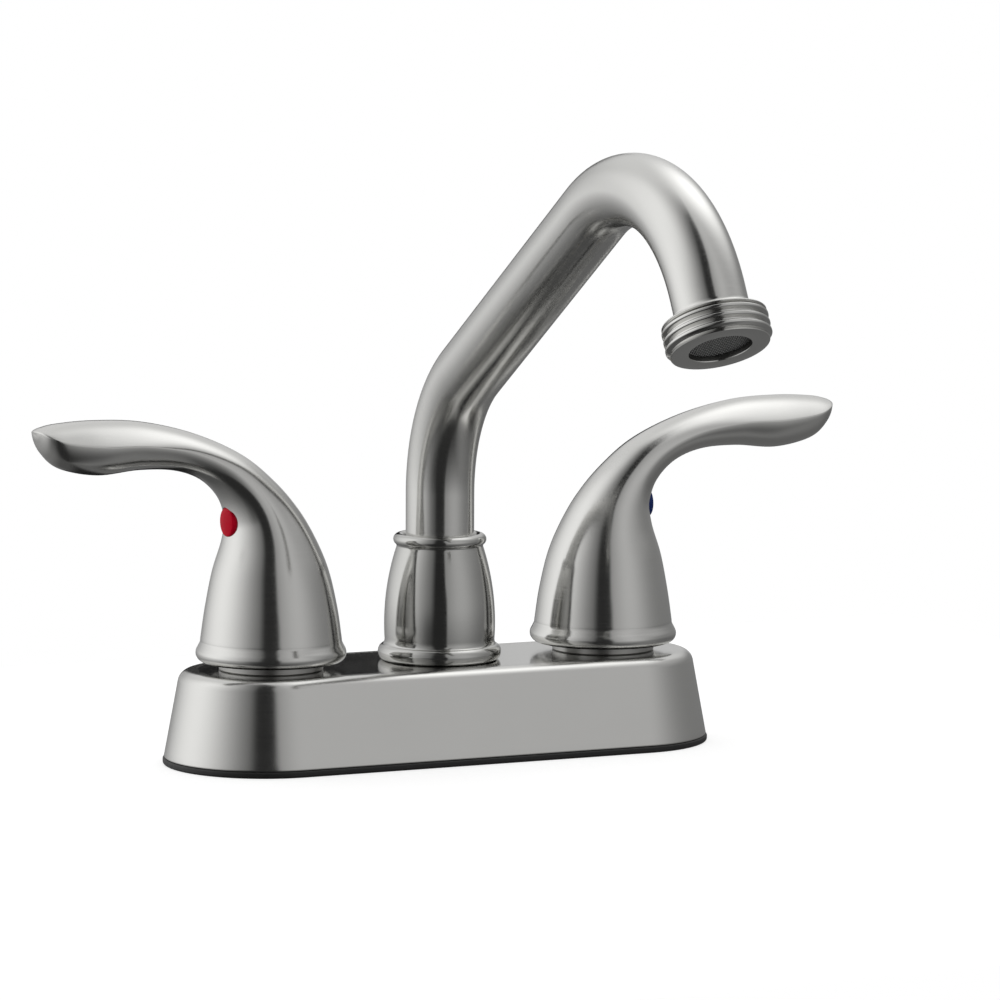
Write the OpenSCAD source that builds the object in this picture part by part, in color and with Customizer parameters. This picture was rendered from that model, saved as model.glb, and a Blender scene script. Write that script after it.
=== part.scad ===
// Two-lever laundry tub faucet on a 4 inch centreset base, with a swivelling tube spout
// Origin: middle of the base on the deck, +Z up, spout towards -Y, hot valve at -X

/* [Base] */
// Distance between the two valve axes
valve_centres = 101.6; // [98:0.2:106]
// Length of the base cover at its foot
base_len = 160.8; // [156:0.2:172]
// Width of the base cover at its foot
base_w = 56.2; // [54:0.2:64]
// Height of the base cover's top above the deck
base_h = 25.9; // [25:0.1:30]
// Lean of the base cover's walls, in degrees
base_draft = 10.5; // [4:0.5:12]
// Radius of the base cover's rounded top edge
base_edge_r = 3.6; // [2:0.1:6]
// Wall of the base cover
base_wall = 2.2; // [1.6:0.1:3]
// Thickness of the gasket under the base
gasket_t = 1.8; // [1.5:0.1:3]
// How far the gasket stands out from the base cover
gasket_proud = 0.3; // [0:0.1:1]

/* [Handles] */
// Turn of each shut lever towards the front, in degrees
lever_toe = 3.4; // [0:0.2:10]
// Gap between the base cover and a handle's foot
handle_gap = 2.2; // [1.5:0.1:3.5]
// Largest radius of the bead round a handle's foot
bead_r = 20.7; // [20:0.1:23]
// Radius of the bead's own rounding
bead_round = 2.5; // [1.5:0.05:2.8]
// Wall of the hollow bell
handle_wall = 3; // [2.4:0.1:4]
// Radius of the bell just above the bead
bell_r = 19.3; // [18.5:0.1:20]
// Height of the neck, where the button sits, above the handle's foot
neck_h = 39; // [36:0.2:42]
// Distance from the stem's axis to the neck's outer side
neck_out = 13.1; // [12:0.1:15]
// Height of the lever's top above the handle's foot
handle_h = 68.5; // [64:0.1:76]
// Distance from the stem's axis to the lever's tip
lever_reach = 70; // [64:0.2:84]
// Width of the lever at its paddle
paddle_w = 18; // [14:0.2:24]
// Width of the lever's slim stretch
lever_w = 15.6; // [13:0.2:18]
// Radius of the index button
button_r = 4; // [3:0.1:5]
// How far the button's rim stands out from the neck
button_proud = 0.5; // [0.3:0.1:1.2]
// Height of the button's dome
button_dome = 0.4; // [0.3:0.1:1]
// Radius of the set screw
set_screw_r = 2; // [1.5:0.1:2.5]
// Length of the set screw
set_screw_len = 5; // [4:0.1:6]

/* [Valves] */
// Radius of the valve stem
stem_r = 4; // [3.4:0.1:4.5]
// Depth of the flat on the stem for the set screw
stem_flat = 0.8; // [0.4:0.1:1.2]
// Radius of the visible collar nut
collar_r = 14.35; // [13.6:0.05:14.8]
// Height of the collar nut
collar_h = 4.4; // [3:0.1:5]
// Thread radius of the valve posts
post_r = 11; // [10.6:0.1:11.5]
// Radius of the valve chambers
chamber_r = 9; // [8.6:0.1:9.4]
// Length of thread under the bonnet nut
bonnet_grip = 6.5; // [5:0.1:8]
// Corner radius of the six-sided bonnet nut
bonnet_r = 13.4; // [12.8:0.1:14]
// Radius of the cartridge's neck
cartridge_neck_r = 7; // [6.2:0.1:7.4]
// Length of the cartridge's neck above the bonnet nut
cartridge_neck_len = 8; // [6:0.1:10]
// Radius of the ceramic discs
disc_r = 7.3; // [6.8:0.1:7.4]
// Thickness of each ceramic disc
disc_t = 2.5; // [2:0.1:2.8]
// Radius of a port through the discs
port_r = 1.9; // [1.5:0.1:2.2]

/* [Deck fastening] */
// Radius of the supply shank over its thread
shank_r = 10.45; // [10:0.05:11]
// Length of the shank below the deck
shank_len = 45; // [38:0.5:60]
// Radius of the shank's waterway
shank_bore_r = 6.5; // [5:0.1:7.5]
// Pitch of the shank's thread
shank_pitch = 1.814; // [1.5:0.001:2.2]
// Depth of the shank's thread
shank_thread = 0.9; // [0.6:0.1:1]
// Thickness of the deck that the nuts are set for
deck_t = 12; // [6:0.5:20]
// Flange radius of the mounting nut
nut_flange_r = 18; // [16:0.5:22]
// Distance across the corners of the mounting nut's grip
nut_corners = 33; // [28:0.5:36]
// Height of the mounting nut
nut_h = 10; // [8:0.5:14]

/* [Hub] */
// Height of the hub
hub_h = 35.3; // [33:0.1:40]
// Largest radius of the hub's barrel
hub_r = 15.45; // [15:0.05:17]
// Radius of the curve of the barrel's side
hub_curve_r = 70; // [60:1:90]
// Height of the barrel's widest place above the hub's foot
hub_wide_h = 10.1; // [8:0.1:11]
// Largest radius of the hub's bottom bead
hub_bead_r = 17.2; // [16.6:0.1:19]
// Rounding of the upper side of the hub's bottom bead
hub_bead_round = 2.3; // [1.8:0.05:2.4]
// Largest radius of the hub's top ring
hub_ring_r = 12.95; // [12.5:0.05:14]
// Rounding of the hub's top ring
hub_ring_round = 1.65; // [1.2:0.05:1.8]
// Thread radius of the spout post
spout_post_r = 11.5; // [11:0.1:12]
// Height of the spout post above the base cover
spout_post_h = 13.5; // [11:0.1:15]
// Length of the bushing round the tube
bushing_len = 9; // [6:0.2:10]

/* [Spout] */
// Outside diameter of the spout tube
tube_od = 19.05; // [18:0.05:20]
// Wall of the spout tube
tube_wall = 1.2; // [0.8:0.1:1.6]
// Height above the deck where the tube starts to bend
riser_h = 72.3; // [66:0.1:90]
// Radius of the lower bend, on the tube's centre line
low_bend_r = 41.6; // [34:0.2:50]
// Rise of the straight arm above level, in degrees
arm_angle = 31.8; // [20:0.2:45]
// Length of the straight arm
arm_len = 90; // [60:0.5:120]
// Radius of the upper bend, on the tube's centre line
top_bend_r = 45; // [36:0.5:55]
// Slope of the outlet below level, in degrees
outlet_angle = 62; // [45:0.5:90]
// Radius of the spout stem's waterway
spout_bore_r = 5.4; // [4:0.1:5.6]
// Radius of the spout stem in its post
spout_stem_r = 7.95; // [7.5:0.05:8.2]

/* [Outlet] */
// Distance from the upper bend to the outlet's face
outlet_len = 15; // [13.5:0.1:20]
// Radius of the hose thread over its crests
hose_r = 13.5; // [13:0.05:14]
// Pitch of the hose thread
hose_pitch = 2.209; // [2:0.001:2.4]
// Depth of the hose thread
hose_thread = 1.1; // [0.6:0.1:1.2]
// Radius of the outlet hole
outlet_hole_r = 7.95; // [7:0.05:8.5]
// Depth of the screen behind the outlet's face
screen_depth = 1.5; // [1:0.1:5.5]
// Thickness of the screen
screen_t = 0.6; // [0.4:0.1:1]

/* [Hidden] */
$fn = 72;
hot = -1;
cold = 1;

// Clearances
run_gap = 0.05;
seat_gap = 0.03;
free_gap = 0.45;
slack = 0.3;
cut = 1;

// Heights of the valve stack above the deck
boss_h = 9.5;
boss_r = 14;
shank_grip = 5.5;
shank_top = gasket_t + shank_grip;
shank_slim_r = shank_r - 0.2;
shank_end = 1;
shank_crest = 0.5;
thread_slope = 30;
chamber_floor = shank_top + 2;
seal_t = 1;
fixed_disc_z = chamber_floor + seal_t;
moving_disc_z = fixed_disc_z + disc_t;
carrier_z = moving_disc_z + disc_t;
carrier_t = 3;
cartridge_roof = carrier_z + carrier_t + slack;
passage_z = carrier_z + carrier_t / 2;
passage_r = 3;
bar_r = 5;
bonnet_z = base_h + collar_h + 0.2;
post_top = bonnet_z + bonnet_grip;
flange_t = 2;
lip_t = 2;
bonnet_top = post_top + flange_t + lip_t;
cartridge_top = bonnet_top + cartridge_neck_len;
handle_z = base_h + handle_gap;
button_z = handle_z + neck_h;
stem_top = button_z + 3;
stem_ring_z = cartridge_top - 5;
cartridge_ring_z = (cartridge_roof + post_top) / 2;

// Other sizes of the valve stack
cartridge_wall = 1.35;
cartridge_r = chamber_r - run_gap;
disc_room_r = cartridge_r - cartridge_wall;
carrier_r = disc_r - 0.1;
inlet_r = 4.5;
flange_r = post_r - 0.1;
ring_groove = 0.9;
ring_wire_r = 0.75;
peg_r = 1.2;
peg_h = 1.5;
peg_x = 4.6;
port_x = 3.9;
flat_h = 10;
flare_h = [4.7, 5.6, 7.1];
flare_out = [0.55, 0.17, 0];
bead_sweep = 35;
button_depth = 3.4;
hex_key_r = 1.15;
hex_key_depth = 2.5;

// Heights of the spout stack above the deck
spout_post_top = base_h + spout_post_h;
washer_t = 1;
spout_flange_z = spout_post_top + washer_t;
spout_flange_t = 2;
spout_flange_r = spout_post_r - 0.6;
tube_z = spout_flange_z + spout_flange_t;
bushing_z = tube_z + slack;
bushing_top = bushing_z + bushing_len;
spigot_len = 9;
spout_bore_floor = gasket_t + 6.5;
spout_stem_z = passage_z + passage_r + 1.5;
spout_ring_steps = [5, 11];
bushing_r = spout_flange_r;
hub_top = base_h + hub_h;
hub_foot_round = 1.5;
shoulder_turn = 65;
cove_turn = 55;
cove_r = 1.2;

// Tube and outlet sizes
tube_r = tube_od / 2;
tube_bore_r = tube_r - tube_wall;
low_bend = 90 - arm_angle;
top_bend = arm_angle + outlet_angle;
seam = 0.02;
join = 0.2;
lip_z = outlet_len - screen_depth;
screen_z = lip_z - screen_t;
screen_washer_t = 1.2;
tube_end = screen_z - screen_washer_t;
adapter_len = 10.2;
adapter_z = outlet_len - adapter_len;
adapter_bore_r = tube_r + seat_gap;
adapter_lip = 0.5;
crest_w = 0.7;
crests = 3;
face_r = hose_r - 0.7;
face_edge = 0.8;
rim_r = hose_r - 0.2;
rim_w = 0.4;
rim_edge = 0.25;
mesh_step = 1.3;
mesh_hole_r = 0.45;

// Colours
nickel = [0.62, 0.61, 0.59];
brass = [0.78, 0.62, 0.32];
black = [0.06, 0.06, 0.06];
ceramic = [0.93, 0.92, 0.88];
steel = [0.55, 0.56, 0.57];
nylon = [0.85, 0.84, 0.8];

// Points of a circular arc about c, from angle a to angle b
function arc(c, r, a, b, n = 10) =
    [for (i = [0:n]) c + r * [cos(a + (b - a) * i / n), sin(a + (b - a) * i / n)]];

// Smooth curve through the rows of p, at place t counted in rows
function row(p, i) = p[max(0, min(len(p) - 1, i))];
function blend(a, b, c, d, f) =
    0.5 * (2 * b + (c - a) * f + (2 * a - 5 * b + 4 * c - d) * f * f
        + (3 * b - a - 3 * c + d) * f * f * f);
function curve(p, t) =
    let (i = min(floor(t), len(p) - 2))
    blend(row(p, i - 1), row(p, i), row(p, i + 1), row(p, i + 2), t - i);

// Place of a valve on the base, and of a valve's lever
module at_valve(side) {
    translate([side * valve_centres / 2, 0, 0]) children();
}
module at_lever(side) {
    at_valve(side) rotate(side == hot ? 180 + lever_toe : -lever_toe) children();
}

// Button axis of a lever, pointing outwards along +Z from the stem's axis
module at_button(side) {
    at_lever(side) translate([0, 0, button_z]) rotate([0, 90, 0]) children();
}

// Ring of rectangular section, and a tube from z0 to z1
module tube(outer, inner, z0, z1) {
    rotate_extrude() translate([inner, z0]) square([outer - inner, z1 - z0]);
}

// Seal ring in a groove
module seal_ring(outer, z) {
    rotate_extrude() translate([outer - ring_wire_r, z]) circle(ring_wire_r, $fn = 24);
}
module seal_groove(outer, z) {
    tube(outer + cut, outer - 2 * ring_wire_r, z - ring_groove, z + ring_groove);
}

// Solid of a half outline turned round both ends of the base and run straight between them
module stadium() {
    span = base_len - base_w;
    for (side = [hot, cold])
        translate([side * span / 2, 0, 0]) rotate(-side * 90)
            rotate_extrude(angle = 180) children();
    translate([-span / 2, 0, 0]) rotate([90, 0, 90]) linear_extrude(span) {
        children();
        mirror([1, 0]) children();
    }
}

// Half outline of the base cover, set in from its outside by d
module base_half(d, foot) {
    lean = tan(base_draft);
    r = max(base_edge_r - d, 0.6);
    top = base_h - d;
    wall = base_w / 2 - d / cos(base_draft);
    centre = [wall - (top - r - gasket_t) * lean - r / cos(base_draft), top - r];
    foot_r = wall - (foot - gasket_t) * lean;
    polygon(concat([[0, foot], [foot_r, foot]], arc(centre, r, base_draft, 90), [[0, top]]));
}

module base_gasket() {
    color(black) difference() {
        stadium() square([base_w / 2 + gasket_proud, gasket_t]);
        for (side = [hot, cold])
            at_valve(side) translate([0, 0, -cut]) cylinder(h = gasket_t + 2 * cut, r = shank_r + free_gap);
    }
}

module escutcheon() {
    color(nickel) difference() {
        stadium() base_half(0, gasket_t);
        stadium() base_half(base_wall, gasket_t - cut);
        for (side = [hot, cold])
            at_valve(side) cylinder(h = base_h + cut, r = post_r + slack);
        cylinder(h = base_h + cut, r = spout_post_r + slack);
    }
}

module waterway_body() {
    color(brass) difference() {
        union() {
            for (side = [hot, cold]) at_valve(side) {
                translate([0, 0, gasket_t]) cylinder(h = boss_h, r = boss_r);
                translate([0, 0, gasket_t]) cylinder(h = post_top - gasket_t, r = post_r);
            }
            translate([0, 0, gasket_t]) cylinder(h = spout_post_top - gasket_t, r = spout_post_r);
            translate([-valve_centres / 2, 0, passage_z]) rotate([0, 90, 0])
                cylinder(h = valve_centres, r = bar_r);
        }
        for (side = [hot, cold]) at_valve(side) {
            translate([0, 0, chamber_floor]) cylinder(h = post_top, r = chamber_r);
            cylinder(h = chamber_floor + cut, r = inlet_r);
            cylinder(h = shank_top, r = shank_slim_r + run_gap);
        }
        translate([0, 0, spout_bore_floor]) cylinder(h = spout_post_top, r = spout_stem_r + run_gap);
        translate([-valve_centres / 2, 0, passage_z]) rotate([0, 90, 0])
            cylinder(h = valve_centres, r = passage_r);
    }
}

// Thread ridges with flat crests of radius r, from z0 up to z1 at most
function ridges(r, depth, pitch, crest, z0, z1) =
    let (flank = depth * tan(thread_slope))
    [for (i = [0:floor((z1 - z0) / pitch) - 1]) let (z = z0 + i * pitch) each [
        [r - depth, z], [r, z + flank], [r, z + flank + crest], [r - depth, z + 2 * flank + crest]
    ]];

// Half outline of a shank: supply thread below the nut, and a slightly slimmer thread through the deck
module shank_half() {
    root = shank_r - shank_thread;
    slim_root = shank_slim_r - shank_thread;
    low = -deck_t - nut_h - shank_end;
    polygon(concat([[shank_bore_r, -shank_len], [root, -shank_len]],
        ridges(shank_r, shank_thread, shank_pitch, shank_crest, -shank_len + shank_end, low),
        ridges(shank_slim_r, shank_thread, shank_pitch, shank_crest, low + shank_end, -shank_end),
        [[slim_root, -shank_end], [shank_slim_r, 0], [shank_slim_r, shank_top], [shank_bore_r, shank_top]]));
}

module shank(side) {
    color(brass) at_valve(side) rotate_extrude() shank_half();
}

module mounting_nut(side) {
    flange = 3;
    color(black) at_valve(side) translate([0, 0, -deck_t - nut_h]) difference() {
        union() {
            cylinder(h = nut_h, r = nut_corners / 2, $fn = 6);
            translate([0, 0, nut_h - flange]) cylinder(h = flange, r = nut_flange_r);
        }
        translate([0, 0, -cut]) cylinder(h = nut_h + 2 * cut, r = shank_r + run_gap);
    }
}

module collar_nut(side) {
    color(nickel) at_valve(side) tube(collar_r, post_r + run_gap, base_h, base_h + collar_h);
}

module bonnet_nut(side) {
    color(brass) at_valve(side) difference() {
        translate([0, 0, bonnet_z]) cylinder(h = bonnet_top - bonnet_z, r = bonnet_r, $fn = 6);
        translate([0, 0, bonnet_z - cut])
            cylinder(h = bonnet_grip + flange_t + cut, r = post_r + run_gap);
        cylinder(h = bonnet_top + cut, r = cartridge_neck_r + slack);
    }
}

module cartridge(side) {
    color(brass) at_valve(side) difference() {
        union() {
            translate([0, 0, chamber_floor]) cylinder(h = post_top - chamber_floor, r = cartridge_r);
            translate([0, 0, post_top]) cylinder(h = flange_t, r = flange_r);
            translate([0, 0, post_top]) cylinder(h = cartridge_top - post_top, r = cartridge_neck_r);
        }
        cylinder(h = cartridge_roof, r = disc_room_r);
        cylinder(h = cartridge_top + cut, r = stem_r + run_gap);
        seal_groove(cartridge_r, cartridge_ring_z);
        for (turn = [0, 90])
            translate([0, 0, passage_z]) rotate([90, 0, turn])
                cylinder(h = 2 * chamber_r, r = port_r * 0.8, center = true, $fn = 32);
    }
}

module cartridge_o_ring(side) {
    color(black) at_valve(side) seal_ring(chamber_r - seat_gap, cartridge_ring_z);
}

module seat_seal(side) {
    color(black) at_valve(side)
        tube(disc_room_r - slack, port_x + port_r + slack, chamber_floor, fixed_disc_z);
}

module fixed_disc(side) {
    color(ceramic) at_lever(side) difference() {
        translate([0, 0, fixed_disc_z]) cylinder(h = disc_t, r = disc_r);
        for (end = [-1, 1])
            translate([end * port_x, 0, fixed_disc_z - cut])
                cylinder(h = disc_t + 2 * cut, r = port_r, $fn = 32);
    }
}

// Places of the two pegs that turn the moving disc
module at_pegs() {
    for (end = [-1, 1]) translate([end * peg_x, 0, 0]) children();
}

module moving_disc(side) {
    color(ceramic) at_lever(side) difference() {
        translate([0, 0, moving_disc_z]) cylinder(h = disc_t, r = disc_r);
        at_pegs() translate([0, 0, carrier_z - peg_h])
            cylinder(h = peg_h + cut, r = peg_r + run_gap, $fn = 24);
        for (end = [-1, 1])
            translate([0, end * port_x, moving_disc_z - cut])
                cylinder(h = disc_t + 2 * cut, r = port_r, $fn = 32);
    }
}

module stem(side) {
    color(brass) at_lever(side) difference() {
        union() {
            translate([0, 0, carrier_z]) cylinder(h = carrier_t, r = carrier_r);
            translate([0, 0, carrier_z]) cylinder(h = stem_top - carrier_z, r = stem_r);
            at_pegs() translate([0, 0, carrier_z - peg_h]) cylinder(h = peg_h + cut, r = peg_r, $fn = 24);
        }
        seal_groove(stem_r, stem_ring_z);
        translate([stem_r - stem_flat, -stem_r, stem_top - flat_h])
            cube([stem_r, 2 * stem_r, flat_h + cut]);
    }
}

module stem_o_ring(side) {
    color(black) at_lever(side) seal_ring(stem_r + run_gap - seat_gap, stem_ring_z);
}

// Stations from a handle's bell to its lever's tip: inner reach and height, outer reach and height,
// half width, place of the side edge from inner to outer, and sharpness of that edge above and below
function at_neck(share) = neck_h * share;
function at_rise(share) = neck_h + (handle_h - neck_h) * share;
function at_reach(share) = lever_reach * share;
slim = lever_w / 2;
paddle = paddle_w / 2;
function round_station(r, h) = [-r, h, r, h, r, 0.5, 1, 1];
stations = [
    for (i = [0:len(flare_h) - 1]) round_station(bell_r + flare_out[i], flare_h[i]),
    round_station(bell_r * 0.94, at_neck(0.385)),
    [-bell_r * 0.82, at_neck(0.64), bell_r * 0.84, at_neck(0.64), bell_r * 0.83, 0.5, 1, 1],
    [-bell_r * 0.64, at_neck(0.854), neck_out + 0.5, at_neck(0.859), bell_r * 0.69, 0.5, 1, 1],
    [-bell_r * 0.38, at_neck(1.07), neck_out, at_neck(1.015), bell_r * 0.57, 0.5, 1, 1],
    [0, at_rise(0.374), neck_out + 2.2, at_rise(0.225), slim + 1.5, 0.5, 1, 1],
    [at_reach(0.14), at_rise(0.634), at_reach(0.3), at_rise(0.405), slim + 0.4, 0.5, 1, 1],
    [at_reach(0.34), at_rise(0.844), at_reach(0.42), at_rise(0.505), slim, 0.48, 1.3, 1],
    [at_reach(0.56), at_rise(0.97), at_reach(0.575), at_rise(0.525), paddle - 0.6, 0.46, 1.85, 1],
    [at_reach(0.76), at_rise(1), at_reach(0.745), at_rise(0.495), paddle, 0.43, 1.9, 1],
    [at_reach(0.91), at_rise(0.983), at_reach(0.893), at_rise(0.565), paddle * 0.88, 0.38, 1.9, 0.95],
    [at_reach(0.972), at_rise(0.955), at_reach(0.96), at_rise(0.69), paddle * 0.66, 0.3, 1.8, 0.9],
    [at_reach(0.995), at_rise(0.932), at_reach(0.992), at_rise(0.83), paddle * 0.32, 0.22, 1.5, 0.9],
    [at_reach(1), at_rise(0.915), at_reach(0.998), at_rise(0.895), paddle * 0.06, 0.2, 1.2, 1]
];
ring_sides = 32;
ring_steps = 3;

// One ring of the handle's skin, made from a station
function skin_ring(s) =
    let (edge = [s[0], s[1]] * (1 - s[5]) + [s[2], s[3]] * s[5])
    [for (i = [0:ring_sides - 1])
        let (a = 360 * i / ring_sides)
        let (above = sin(a) > 0)
        let (side = above ? [s[0], s[1]] : [s[2], s[3]])
        let (p = edge + (side - edge) * pow(abs(sin(a)), above ? s[6] : s[7]))
        [p[0], s[4] * cos(a), p[1]]];

// Stations of the bead round the handle's foot
function bead_stations() =
    [for (p = arc([bead_r - bead_round, bead_round], bead_round, -90, bead_sweep, 6))
        round_station(p[0], p[1])];

// Closed skin through all the rings
module handle_skin() {
    last = len(stations) - 1;
    rows = concat(bead_stations(), [for (i = [0:last * ring_steps]) curve(stations, i / ring_steps)]);
    points = [for (s = rows) each skin_ring(s)];
    n = ring_sides;
    count = len(rows);
    sides = [for (k = [0:count - 2], i = [0:n - 1])
        let (a = k * n + i, b = k * n + (i + 1) % n)
        each [[a, b, b + n], [a, b + n, a + n]]];
    foot = [for (i = [n - 1:-1:0]) i];
    tip = [for (i = [0:n - 1]) (count - 1) * n + i];
    polyhedron(points, concat([foot, tip], sides));
}

module handle(side) {
    cavity_r = max(collar_r, bonnet_r) + free_gap;
    color(nickel) difference() {
        at_lever(side) translate([0, 0, handle_z]) handle_skin();
        at_valve(side) translate([0, 0, handle_z - cut])
            cylinder(h = at_neck(0.64) + cut, r1 = bell_r - handle_wall, r2 = bell_r * 0.82 - handle_wall);
        at_valve(side) cylinder(h = bonnet_top + 2 * free_gap, r = cavity_r);
        at_valve(side) cylinder(h = cartridge_top + 2 * free_gap, r = cartridge_neck_r + free_gap);
        at_valve(side) cylinder(h = stem_top + free_gap, r = stem_r + seat_gap);
        at_button(side) cylinder(h = neck_out, r = set_screw_r + seat_gap, $fn = 32);
        at_button(side) translate([0, 0, neck_out - button_depth])
            cylinder(h = 2 * button_depth, r = button_r + seat_gap);
    }
}

module set_screw(side) {
    color(steel) at_button(side) translate([0, 0, stem_r - stem_flat]) difference() {
        cylinder(h = set_screw_len, r = set_screw_r, $fn = 32);
        translate([0, 0, set_screw_len - hex_key_depth])
            cylinder(h = hex_key_depth + cut, r = hex_key_r, $fn = 6);
    }
}

module index_button(side) {
    shoulder = neck_out + button_proud;
    dome_r = (button_r * button_r + button_dome * button_dome) / (2 * button_dome);
    sweep = asin(button_r / dome_r);
    dome = arc([0, shoulder + button_dome - dome_r], dome_r, 90 - sweep, 90);
    color(side == hot ? "crimson" : "royalblue") at_button(side) rotate_extrude()
        polygon(concat([[0, neck_out - button_depth], [button_r, neck_out - button_depth]], dome));
}

// Half outline of the hub, from its foot up the outside and down the bore
module hub_half() {
    bead_c = [hub_bead_r - hub_bead_round, base_h + hub_bead_round];
    shoulder_z = bead_c[1] + hub_bead_round * sin(shoulder_turn);
    cove_c = [hub_r - join / 2 + cove_r, shoulder_z + cove_r * sin(cove_turn)];
    ring_c = [hub_ring_r - hub_ring_round, hub_top - hub_ring_round];
    wide = [hub_r - hub_curve_r, base_h + hub_wide_h];
    low = asin((cove_c[1] + slack - wide[1]) / hub_curve_r);
    high = asin((hub_h - 2 * hub_ring_round - hub_wide_h - slack) / hub_curve_r);
    foot = [for (p = arc([-1, 1], 1, -90, 0, 6))
        [hub_bead_r + hub_foot_round * p[0], base_h + hub_bead_round * p[1]]];
    lip_r = tube_r + slack;
    polygon(concat(
        [[spout_post_r + run_gap, base_h]],
        foot, arc(bead_c, hub_bead_round, 0, shoulder_turn, 6), arc(cove_c, cove_r, 180 + cove_turn, 180, 4),
        arc(wide, hub_curve_r, low, high, 14),
        arc(ring_c, hub_ring_round, -62, 130, 12),
        [[lip_r, hub_top - hub_ring_round * 0.6], [lip_r, bushing_top], [bushing_r + seat_gap, bushing_top],
            [bushing_r + seat_gap, bushing_z], [spout_post_r + run_gap, bushing_z]]));
}

module spout_hub() {
    color(nickel) rotate_extrude() hub_half();
}

module spout_bushing() {
    color(nylon) tube(bushing_r, tube_r + run_gap, bushing_z, bushing_top);
}

module spout_washer() {
    color(nylon) tube(spout_flange_r, spout_stem_r + run_gap, spout_post_top, spout_flange_z);
}

module spout_stem() {
    color(brass) difference() {
        union() {
            translate([0, 0, spout_stem_z]) cylinder(h = tube_z - spout_stem_z, r = spout_stem_r);
            translate([0, 0, spout_flange_z]) cylinder(h = spout_flange_t, r = spout_flange_r);
            translate([0, 0, tube_z]) cylinder(h = spigot_len, r = tube_bore_r - seat_gap);
        }
        cylinder(h = tube_z + spigot_len + cut, r = spout_bore_r);
        for (step = spout_ring_steps) seal_groove(spout_stem_r, spout_stem_z + step);
    }
}

module spout_o_rings() {
    color(black) for (step = spout_ring_steps)
        seal_ring(spout_stem_r + run_gap - seat_gap, spout_stem_z + step);
}

// Upright plane of the spout: +X runs back, +Y up and +Z to the right
module spout_plane() {
    rotate([90, 0, 90]) children();
}

// Frame at the far end of a bend that starts along +Y and turns left
module past_bend(r, angle) {
    translate([-r, 0, 0]) rotate(angle) translate([r, 0, 0]) children();
}

// Round bar from place a to place b along +Y, and a bent round bar that starts along +Y
module straight(r, a, b) {
    translate([0, a, 0]) rotate([-90, 0, 0]) cylinder(h = b - a, r = r);
}
module bend(r, bend_r, angle) {
    translate([-bend_r, 0, 0]) rotate_extrude(angle = angle, $fn = 144)
        translate([bend_r, 0]) circle(r + seam);
}

// Frame at the upper bend's end, with +Z out of the outlet
module at_outlet() {
    spout_plane() translate([0, riser_h, 0]) past_bend(low_bend_r, low_bend)
        translate([0, arm_len, 0]) past_bend(top_bend_r, top_bend) rotate([-90, 0, 0]) children();
}

// Solid run of the spout with radius r, longer at both ends by more
module spout_run(r, more) {
    spout_plane() {
        straight(r, tube_z - more, riser_h + join);
        translate([0, riser_h, 0]) {
            bend(r, low_bend_r, low_bend);
            past_bend(low_bend_r, low_bend) {
                straight(r, -join, arm_len + join);
                translate([0, arm_len, 0]) bend(r, top_bend_r, top_bend);
            }
        }
    }
    at_outlet() translate([0, 0, -join]) cylinder(h = tube_end + join + more, r = r);
}

module spout_tube() {
    color(nickel) difference() {
        spout_run(tube_r, 0);
        spout_run(tube_bore_r, cut);
    }
}

// Half outline of the hose outlet, with flat-crested thread ridges behind its face
module adapter_half() {
    first = outlet_len - face_edge - crests * hose_pitch;
    fillet_r = first - adapter_z - crest_w;
    cove = arc([adapter_bore_r + adapter_lip + fillet_r, adapter_z], fillet_r, 180, 100, 8);
    rim = [[rim_r - rim_edge, first - rim_w - rim_edge], [rim_r, first - rim_w], [rim_r, first - rim_edge]];
    polygon(concat([[adapter_bore_r, adapter_z]], cove, rim,
        ridges(hose_r, hose_thread, hose_pitch, crest_w, first, outlet_len),
        [[face_r, outlet_len], [outlet_hole_r, outlet_len], [outlet_hole_r, lip_z],
            [adapter_bore_r, lip_z]]));
}

module outlet_adapter() {
    color(nickel) at_outlet() rotate_extrude() adapter_half();
}

module screen_washer() {
    color(black) at_outlet() tube(tube_r, tube_bore_r - 1, tube_end, screen_z);
}

module outlet_screen() {
    reach = tube_bore_r - 1 - mesh_hole_r - 0.3;
    count = floor(reach / mesh_step);
    color(steel) at_outlet() difference() {
        translate([0, 0, screen_z]) cylinder(h = screen_t, r = tube_r);
        for (i = [-count:count], j = [-count:count])
            if (norm([i, j]) * mesh_step <= reach)
                translate([i * mesh_step, j * mesh_step, screen_z - cut])
                    cylinder(h = screen_t + 2 * cut, r = mesh_hole_r, $fn = 16);
    }
}

base_gasket();
escutcheon();
waterway_body();
shank(hot);  // hot_shank
shank(cold);  // cold_shank
mounting_nut(hot);  // hot_mounting_nut
mounting_nut(cold);  // cold_mounting_nut
collar_nut(hot);  // hot_collar_nut
collar_nut(cold);  // cold_collar_nut
bonnet_nut(hot);  // hot_bonnet_nut
bonnet_nut(cold);  // cold_bonnet_nut
cartridge(hot);  // hot_cartridge
cartridge(cold);  // cold_cartridge
cartridge_o_ring(hot);  // hot_cartridge_o_ring
cartridge_o_ring(cold);  // cold_cartridge_o_ring
seat_seal(hot);  // hot_seat_seal
seat_seal(cold);  // cold_seat_seal
fixed_disc(hot);  // hot_fixed_disc
fixed_disc(cold);  // cold_fixed_disc
moving_disc(hot);  // hot_moving_disc
moving_disc(cold);  // cold_moving_disc
stem(hot);  // hot_stem
stem(cold);  // cold_stem
stem_o_ring(hot);  // hot_stem_o_ring
stem_o_ring(cold);  // cold_stem_o_ring
handle(hot);  // hot_handle
handle(cold);  // cold_handle
set_screw(hot);  // hot_set_screw
set_screw(cold);  // cold_set_screw
index_button(hot);  // hot_index_button
index_button(cold);  // cold_index_button
spout_hub();
spout_bushing();
spout_washer();
spout_stem();
spout_o_rings();
spout_tube();
outlet_adapter();
screen_washer();
outlet_screen();
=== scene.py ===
import math
from collections import namedtuple

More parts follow.
